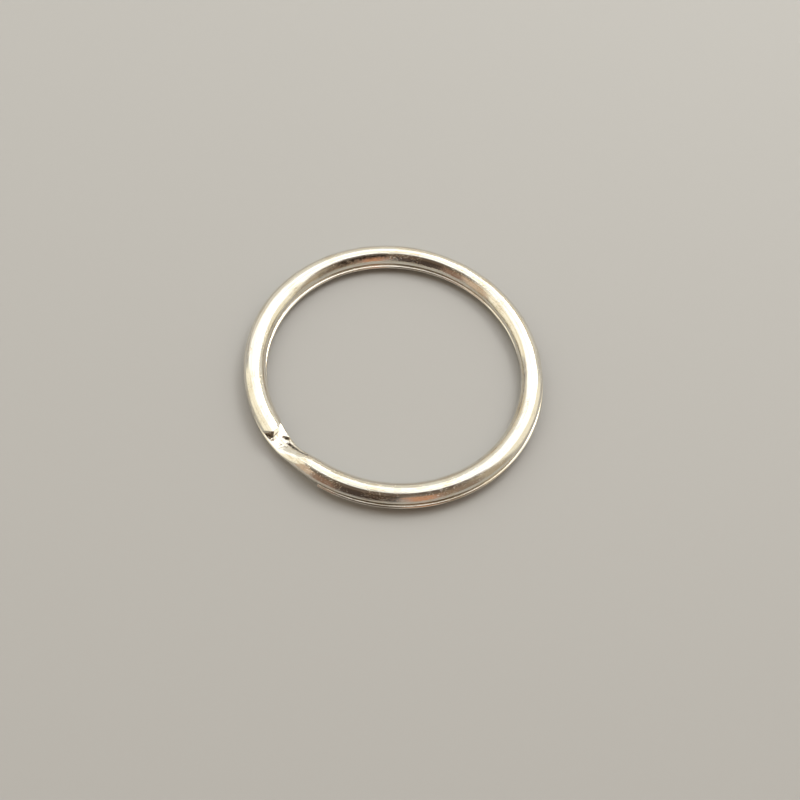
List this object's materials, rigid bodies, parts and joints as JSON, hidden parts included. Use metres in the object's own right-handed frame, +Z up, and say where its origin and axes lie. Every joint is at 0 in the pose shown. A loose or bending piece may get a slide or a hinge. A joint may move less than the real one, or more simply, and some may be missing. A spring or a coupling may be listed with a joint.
{
  "type": "key ring",
  "caption": "Plain split key ring: half-round sprung wire coiled flat on itself, with a short step beside its cropped end, to hold keys, a tag or a clasp.",
  "frame": {"origin": "on the ring's axis, midway between the centres of the two turns, at the height of the surface that it lies on", "axes": "+Z up along the ring's axis; the ring lies flat in XY; the step and both ends are at the front left, 221 to 251 degrees round from +X towards +Y; the lower turn has slipped towards 303 degrees"},
  "size_m": [0.0302, 0.0302, 0.0021],
  "materials": {
    "nickel_plate": "bright nickel plate with a warm tint, fine draw lines along the wire and light handling scratches"
  },
  "bodies": {
    "root": {"split_ring": "nickel_plate"}
  },
  "joints": []
}
